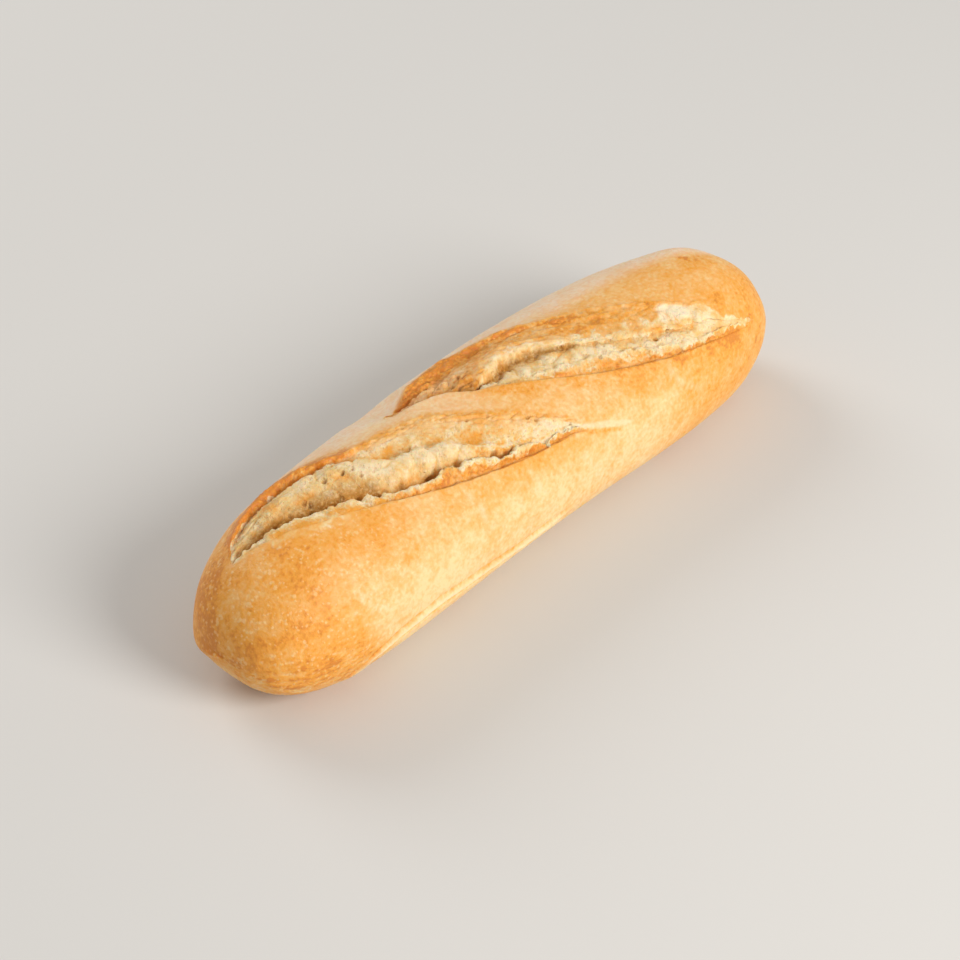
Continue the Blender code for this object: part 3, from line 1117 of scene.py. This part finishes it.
def seam_and_wrinkles(dough, x, turn, masks):
    """The raised seam low on the -Y flank, stretch marks, and creases round the near end's foot."""
    places = numbers(dough.data.vertices, "co")
    outward = numbers(dough.data.vertex_normals, "vector")
    along = window(x, *SEAM_STATIONS)
    rise = seam_stripe(x, turn, SEAM_RIDGE) * along
    for groove in (LOWER_GROOVE, UPPER_GROOVE):
        rise += seam_stripe(x, turn, groove) * along
    foot = towards_tip(x, FOOT) * window(turn, *FOOT_TURNS)
    rise += CREASE_HEIGHT * foot * field(places, CREASE_LUMPS, SEEDS["creases"], CREASE_STRETCH)
    pale = seam_stripe(x, turn, SEAM_PALE) * along
    for ends in STRETCH_MARKS:
        mark = stretch_mark(x, turn, ends)
        rise += MARK_HEIGHT * mark
        pale = np.maximum(pale, MARK_PALE * mark)
    places += outward * (rise * MM)[:, None]
    keep_inside(places)
    put_places(dough.data, places)
    # Painted shade in the grooves on both sides of the seam, laid in the toasted colour.
    toast = (seam_stripe(x, turn, LOWER_GROOVE_SHADE) + seam_stripe(x, turn, UPPER_GROOVE_SHADE)) * along
    masks["toast"] = np.maximum(masks["toast"], toast)
    masks["pale"] = np.maximum(masks["pale"], pale)
    masks["wrinkle"] = towards_tip(x, WRINKLED) * window(turn, *WRINKLED_TURNS)


# ---------------------------------------------------------------- materials

# Patterns that break the colours up: lump size in mm, detail, and a shift that sets each apart.
PATTERNS = {
    "broad": (24, 2.0, 0.0),
    "mottle": (6.5, 4.0, 1.3),
    "patchy": (3.2, 2.0, 7.7),
    "fine": (1.4, 3.0, 2.1),
    "creased": (1.7, 3.0, 9.1),
    "clustered": (4.0, 1.0, 5.0),
    "tone": (5.2, 4.0, 3.7),
    "warm": (10.5, 2.0, 6.1),
    "grain": (1.1, 3.0, 4.9),
    "skin": (0.7, 2.0, 8.0),
}
# The creases are longer along X and Y than upwards.
SQUEEZE = {"creased": (0.3, 0.3, 1.0)}
# Scattered spots: spacing in mm, and shift.
FRECKLES = (1.5, 0.0)
PINHOLES = (1.4, 3.0)
# How much each pattern changes the bake, the crumb's warmth, and the edges of what it breaks up.
BAKE_SWING = {"broad": 0.6, "mottle": 0.7, "patchy": 0.5, "fine": 0.9}
WARMTH_SWING = {"tone": 1.6, "warm": 0.65, "grain": 0.6}
FRECKLE_SWING = {"clustered": 1.0, "fine": 1.4}
PINHOLE_SWING = {"tone": 1.8}
CRUMB_SWING = {"mottle": 0.9, "fine": 0.8}
# Where the colour ramps of crust and crumb have their stops.
CRUST_STOPS = (0.0, 0.5, 0.78, 1.0)
CRUMB_STOPS = (0.0, 0.36, 0.70, 1.0)
# A mask broken up by a pattern: the pattern's range, the mask's least share and what it gains.
TOAST_BROKEN = (0.38, 0.6, 0.45, 0.55)
HEAT_BROKEN = (0.36, 0.6, 0.2, 0.9)
PALE_SHEEN_BROKEN = (0.3, 0.6, 0.5, 0.35)
DEEP_SHADE_BROKEN = (0.3, 0.6, 0.6, 0.5)
# Ranges over which one finish turns into another.
FRECKLE_RANGE = (0.30, 0.02)
PINHOLE_RANGE = (0.22, 0.05)
CRUMB_RANGE = (0.28, 0.72)
GOLD_RANGE = (0.42, 0.62)
# Strengths of the finishes.
TOASTING = 0.8
WRINKLING = 1.4
GOLD_SHARE = 0.4
FRECKLE_SHARE = 0.42
SHADE_AND_TAN_WARMTH = 0.75
LEAST_WARMTH = 0.06
PINHOLE_SHADE = 0.2
CRUMB_ROUGHNESS = 0.85
ROUGHNESS_SWING = 0.16
# Heights in the bump, whose distance is in metres.
BUMP = 0.26 * MM
FINE_BUMP = 1.2
MOTTLE_BUMP = 0.9
FRECKLE_BUMP = 0.3
WRINKLE_BUMP = 3.0
SKIN_BUMP = 0.4
FLUFF_BUMP = 2.8
PINHOLE_BUMP = 0.7
CRUST_TORN_BUMP = 0.2
# What is the same all over the bread.
EVEN_FINISH = {
    "Subsurface Weight": 0.36,
    "Subsurface Radius": (1.0, 0.5, 0.25),
    "Subsurface Scale": 3.0 * MM,
    "Specular IOR Level": 0.3,
    "Sheen Weight": 0.04,
    "Sheen Roughness": 0.4,
}


class Wire:
    """An output socket on which Python's own arithmetic adds Math nodes."""

    def __init__(self, recipe, socket):
        self.recipe, self.socket = recipe, socket

    def maths(self, operation, *others, last=False):
        """A Math node on this wire and others, or on them and this wire last."""
        values = (*others, self) if last else (self, *others)
        return self.recipe.node("ShaderNodeMath", {"operation": operation}, dict(enumerate(values)))

    def __add__(self, other):
        return self.maths("ADD", other)

    def __sub__(self, other):
        return self.maths("SUBTRACT", other)

    def __rsub__(self, other):
        return self.maths("SUBTRACT", other, last=True)

    def __mul__(self, other):
        return self.maths("MULTIPLY", other)

    __radd__ = __add__
    __rmul__ = __mul__


class Recipe:
    """The nodes of one material."""

    def __init__(self, name):
        self.material = bpy.data.materials.new(name)
        self.material.use_nodes = True
        self.tree = self.material.node_tree
        self.shader = self.tree.nodes["Principled BSDF"]
        self.patterns = {}

    def node(self, kind, settings=None, sockets=None, output=0):
        """One node: its settings first, a ramp's stops among them, and then its sockets."""
        made = self.tree.nodes.new(kind)
        for name, value in (settings or {}).items():
            if name == "stops":
                set_stops(made.color_ramp.elements, value)
            else:
                setattr(made, name, value)
        for name, value in (sockets or {}).items():
            self.feed(made.inputs[name], value)
        return Wire(self, made.outputs[output])

    def feed(self, socket, value):
        """Links a wire to a socket, or sets the socket to a plain value."""
        if isinstance(value, Wire):
            self.tree.links.new(value.socket, socket)
        else:
            socket.default_value = value

    def mask(self, name):
        """What is stored on the mesh under this name."""
        return self.node("ShaderNodeAttribute", {"attribute_name": name}, output="Fac")

    def pattern(self, name):
        """Soft random values, 0 to 1, in the lumps of the named pattern."""
        if name not in self.patterns:
            size, detail, shift = PATTERNS[name]
            place = self.node("ShaderNodeTexCoord", output="Object")
            sockets = {0: place, 1: SQUEEZE.get(name, (1.0, 1.0, 1.0)), 2: (shift,) * 3}
            moved = self.node("ShaderNodeVectorMath", {"operation": "MULTIPLY_ADD"}, sockets)
            sockets = {"Vector": moved, "Scale": 1 / (size * MM), "Detail": detail}
            self.patterns[name] = self.node("ShaderNodeTexNoise", None, sockets)
        return self.patterns[name]

    def swing(self, shares):
        """Patterns added up by their shares, each lying about 0."""
        first, *rest = [(self.pattern(name) - 0.5) * share for name, share in shares.items()]
        return sum(rest, first)

    def spots(self, spacing, shift):
        """Distance from the nearest of many scattered points, 0 at it."""
        place = self.node("ShaderNodeTexCoord", output="Object")
        moved = self.node("ShaderNodeVectorMath", {"operation": "ADD"}, {0: place, 1: (shift,) * 3})
        sockets = {"Vector": moved, "Scale": 1 / (spacing * MM)}
        return self.node("ShaderNodeTexVoronoi", None, sockets)

    def ramp(self, value, places, colours):
        """The colours at their places, by a value that runs from 0 to 1."""
        settings = {"stops": tuple(zip(places, colours))}
        return self.node("ShaderNodeValToRGB", settings, {"Fac": value}, output="Color")

    def between(self, value, low, high):
        """0 below low, 1 above high, smooth between them; high may be the lower one."""
        settings = {"interpolation_type": "SMOOTHSTEP", "clamp": True}
        if low <= high:
            return self.node("ShaderNodeMapRange", settings, {0: value, 1: low, 2: high})
        return 1 - self.node("ShaderNodeMapRange", settings, {0: value, 1: high, 2: low})

    def broken(self, mask, value, low, high, least, gain):
        """A mask broken up by a value that runs from low to high."""
        return self.mask(mask) * (self.between(value, low, high) * gain + least)

    def blend(self, amount, one, other):
        """one where amount is 0 and other where it is 1."""
        one, other = (v if isinstance(v, Wire) else (*v, 1.0) for v in (one, other))
        settings = {"data_type": "RGBA", "clamp_factor": True}
        return self.node("ShaderNodeMix", settings, {0: amount, 6: one, 7: other}, output=2)


def set_stops(points, stops):
    """Gives a new colour ramp its stops, each (place, colour)."""
    while len(points) < len(stops):
        points.new(0.5)
    for point, (place, colour) in zip(points, stops):
        point.position = place
        point.color = (*colour, 1.0)


def crust_colour(recipe, crust):
    """Crust from straw to toasted as it is baked, with mottling, freckles and a paler side with a
    painted sheen; and its height in the bump."""
    mottle, fine = recipe.pattern("mottle"), recipe.pattern("fine")
    toast = recipe.broken("toast", fine * 0.5 + mottle * 0.5, *TOAST_BROKEN)
    wrinkle = (recipe.pattern("creased") - 0.5) * recipe.mask("wrinkle")
    baked = recipe.mask("bake") + toast * TOASTING + recipe.swing(BAKE_SWING) + wrinkle * WRINKLING
    colours = (crust.straw, crust.golden, crust.amber, crust.toasted)
    colour = recipe.ramp(baked, CRUST_STOPS, colours)
    pale_sheen = recipe.broken("dusky", mottle, *PALE_SHEEN_BROKEN)
    colour = recipe.blend(pale_sheen, colour, crust.dusky)
    gold = pale_sheen * recipe.between(fine, *GOLD_RANGE) * GOLD_SHARE
    colour = recipe.blend(gold, colour, crust.golden)
    spots = recipe.spots(*FRECKLES) + recipe.swing(FRECKLE_SWING)
    freckle = recipe.between(spots, *FRECKLE_RANGE) * recipe.mask("freckle")
    relief = fine * FINE_BUMP + mottle * MOTTLE_BUMP
    relief = relief + freckle * FRECKLE_BUMP + wrinkle * WRINKLE_BUMP
    return recipe.blend(freckle * FRECKLE_SHARE, colour, crust.freckle), relief


def crumb_colour(recipe, crust):
    """Cream crumb, butter and golden where it caught the heat, with warm painted shade in its
    creases and valleys, painted shade in its pinholes and a fine grain; and where its pinholes are."""
    grain, tone = recipe.pattern("grain"), recipe.pattern("tone")
    heat = recipe.broken("toast", grain * 0.5 + tone * 0.5, *HEAT_BROKEN)
    # Warm painted shade in creases and valleys; near the tips it also tans the crumb.
    warmth = heat + recipe.mask("cavity") * SHADE_AND_TAN_WARMTH + recipe.swing(WARMTH_SWING) + LEAST_WARMTH
    colours = (crust.cream, crust.butter, crust.golden, crust.amber)
    colour = recipe.ramp(warmth, CRUMB_STOPS, colours)
    # Painted shade in the pinholes, towards the toasted colour.
    pinhole = recipe.between(recipe.spots(*PINHOLES) + recipe.swing(PINHOLE_SWING), *PINHOLE_RANGE)
    return recipe.blend(pinhole * PINHOLE_SHADE, colour, crust.toasted), pinhole


def bread_height(recipe, edge, relief, pinhole):
    """Height in the bump: the crust's relief, and fluff and pinholes where it is torn."""
    skin = relief + recipe.pattern("skin") * SKIN_BUMP
    fluff = (recipe.pattern("grain") - 0.5).maths("ABSOLUTE") * FLUFF_BUMP
    share = edge * (1 - CRUST_TORN_BUMP) + CRUST_TORN_BUMP
    return skin + (fluff - pinhole * PINHOLE_BUMP) * share * recipe.mask("torn")


def bread_material(crust):
    """Baked crust that is torn open over bare crumb."""
    recipe = Recipe("torn_golden_crust")
    outer, relief = crust_colour(recipe, crust)
    inner, pinhole = crumb_colour(recipe, crust)
    edge = recipe.between(recipe.mask("crumb") + recipe.swing(CRUMB_SWING), *CRUMB_RANGE)
    colour = recipe.blend(edge, outer, inner)
    colour = recipe.blend(recipe.mask("pale"), colour, crust.pale)
    # Painted shade deep in valleys, cracks and pores, broken up by the grain.
    depth = recipe.broken("hollow", recipe.pattern("grain"), *DEEP_SHADE_BROKEN)
    inputs = recipe.shader.inputs
    recipe.feed(inputs["Base Color"], recipe.blend(depth, colour, crust.hollow))
    least = crust.roughness - ROUGHNESS_SWING / 2
    dull = edge * (CRUMB_ROUGHNESS - crust.roughness)
    recipe.feed(inputs["Roughness"], dull + (recipe.pattern("mottle") * ROUGHNESS_SWING + least))
    for name, value in EVEN_FINISH.items():
        recipe.feed(inputs[name], value)
    height = bread_height(recipe, edge, relief, pinhole)
    sockets = {"Strength": 1.0, "Distance": BUMP, "Height": height}
    recipe.feed(inputs["Normal"], recipe.node("ShaderNodeBump", None, sockets))
    return recipe.material


def plain_material(name, colour, roughness):
    """One even colour, for the floor."""
    recipe = Recipe(name)
    recipe.feed(recipe.shader.inputs["Base Color"], (*colour, 1.0))
    recipe.feed(recipe.shader.inputs["Roughness"], roughness)
    return recipe.material


# ---------------------------------------------------------------- operators


class BreadOperator:
    """What the operators share."""

    bl_options = {"REGISTER", "UNDO"}


class BAGUETTE_OT_loaf(BreadOperator, bpy.types.Operator):
    """Shape the loaf, tear its scores open and give it its crust"""

    bl_idname = "baguette.loaf"
    bl_label = "Bake the Loaf"

    def execute(self, context):
        loaf, crust = context.scene.baguette_loaf, context.scene.baguette_crust
        body = Body(loaf)
        scores = (
            Score(NEAR_SCORE, loaf.raggedness, SEEDS["near"]),
            Score(FAR_SCORE, loaf.raggedness, SEEDS["far"]),
        )
        dough = add_dough(loaf, body, scores)
        x, turn, flow, masks = tear_open(
            dough, body, scores, (NEAR_PAINT, FAR_PAINT), (crumb_on_near, crumb_on_far)
        )
        open_holes(dough, body, x, turn, masks)
        roughen_crumb(dough, x, flow, masks, loaf.raggedness)
        colour_zones(x, turn, masks, scores)
        seam_and_wrinkles(dough, x, turn, masks)
        for name, values in masks.items():
            store(dough.data, name, values)
        bpy.ops.object.shade_smooth()
        dough.data.materials.append(bread_material(crust))
        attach(dough, "root")
        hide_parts("loaf")
        return {"FINISHED"}


class BAGUETTE_OT_stage(BreadOperator, bpy.types.Operator):
    """Add the pale floor, the soft lights and the camera"""

    bl_idname = "baguette.stage"
    bl_label = "Set the Stage"

    def execute(self, context):
        stage = context.scene.baguette_stage
        add_floor(stage)
        add_lights(context.scene)
        add_camera(context.scene, stage)
        return {"FINISHED"}


# ---------------------------------------------------------------- stage

FLOOR_SIZE = 6.0
FLOOR_ROUGHNESS = 0.8
LOOK_AT = Vector((-8.9, -5.3, 18.9)) * MM
# Area lights: name, direction, distance and size in metres, power in watts, colour.
LIGHTS = (
    ("window_light", (0.12, -0.88, 0.54), 1.6, 0.8, 20.1, (1.0, 0.985, 0.96)),
    ("back_light", (0.05, 0.92, 0.60), 1.8, 1.0, 11.0, (1.0, 0.99, 0.98)),
)
ROOM_COLOUR = (1.0, 0.99, 0.97, 1.0)
ROOM_LIGHT = 0.42


def add_floor(stage):
    """A pale floor, wide enough to have no edge near the loaf."""
    bpy.ops.object.select_all(action="DESELECT")
    bpy.ops.mesh.primitive_plane_add(size=FLOOR_SIZE, location=(0, 0, 0))
    floor = bpy.context.active_object
    floor.name = "floor"
    floor.data.materials.append(plain_material("pale_floor", stage.floor, FLOOR_ROUGHNESS))


def aim(thing, direction, distance, at):
    """Puts a light or camera out along a direction from a point, looking back at it."""
    direction = Vector(direction).normalized()
    thing.location = Vector(at) + direction * distance
    thing.rotation_euler = direction.to_track_quat("Z", "Y").to_euler()


def add_area(name, direction, distance, size, power, colour):
    """A round soft light that looks at the loaf."""
    bpy.ops.object.light_add(type="AREA")
    lamp = bpy.context.active_object
    lamp.name = name
    lamp.data.shape = "DISK"
    lamp.data.size = size
    lamp.data.energy = power
    lamp.data.color = colour
    aim(lamp, direction, distance, LOOK_AT)


def add_lights(scene):
    """The soft lights and the even light of the room."""
    for light in LIGHTS:
        add_area(*light)
    world = bpy.data.worlds.new("soft_room")
    world.use_nodes = True
    room = world.node_tree.nodes["Background"]
    room.inputs["Color"].default_value = ROOM_COLOUR
    room.inputs["Strength"].default_value = ROOM_LIGHT
    scene.world = world


def add_camera(scene, stage):
    """The camera, and colours shown plainly."""
    bpy.ops.object.camera_add()
    camera = bpy.context.active_object
    camera.name = "camera"
    camera.data.lens = stage.lens
    turn, tilt = stage.azimuth, stage.elevation
    back = (sin(turn) * cos(tilt), -cos(turn) * cos(tilt), sin(tilt))
    aim(camera, back, stage.distance, LOOK_AT)
    scene.camera = camera
    scene.view_settings.view_transform = "Standard"


class BAGUETTE_PT_panel(bpy.types.Panel):
    """Lists the settings and the operators"""

    bl_label = "Baguette"
    bl_idname = "BAGUETTE_PT_panel"
    bl_space_type = "VIEW_3D"
    bl_region_type = "UI"
    bl_category = "Baguette"

    def draw(self, context):
        for group in SETTINGS:
            box = self.layout.box()
            settings = getattr(context.scene, group)
            for name in settings.bl_rna.properties.keys():
                if name not in ("rna_type", "name"):
                    box.prop(settings, name)
        for operator in OPERATORS:
            self.layout.operator(operator.bl_idname)


SETTINGS = {
    "baguette_loaf": LoafSettings,
    "baguette_crust": CrustSettings,
    "baguette_stage": StageSettings,
}
OPERATORS = (BAGUETTE_OT_loaf, BAGUETTE_OT_stage)


def register():
    for group, kind in SETTINGS.items():
        bpy.utils.register_class(kind)
        setattr(bpy.types.Scene, group, PointerProperty(type=kind))
    for kind in (*OPERATORS, BAGUETTE_PT_panel):
        bpy.utils.register_class(kind)


def unregister():
    for kind in (BAGUETTE_PT_panel, *OPERATORS):
        bpy.utils.unregister_class(kind)
    for group, kind in SETTINGS.items():
        delattr(bpy.types.Scene, group)
        bpy.utils.unregister_class(kind)


def main():
    register()
    bpy.ops.baguette.loaf()
    bpy.ops.baguette.stage()


if __name__ == "__main__":
    main()
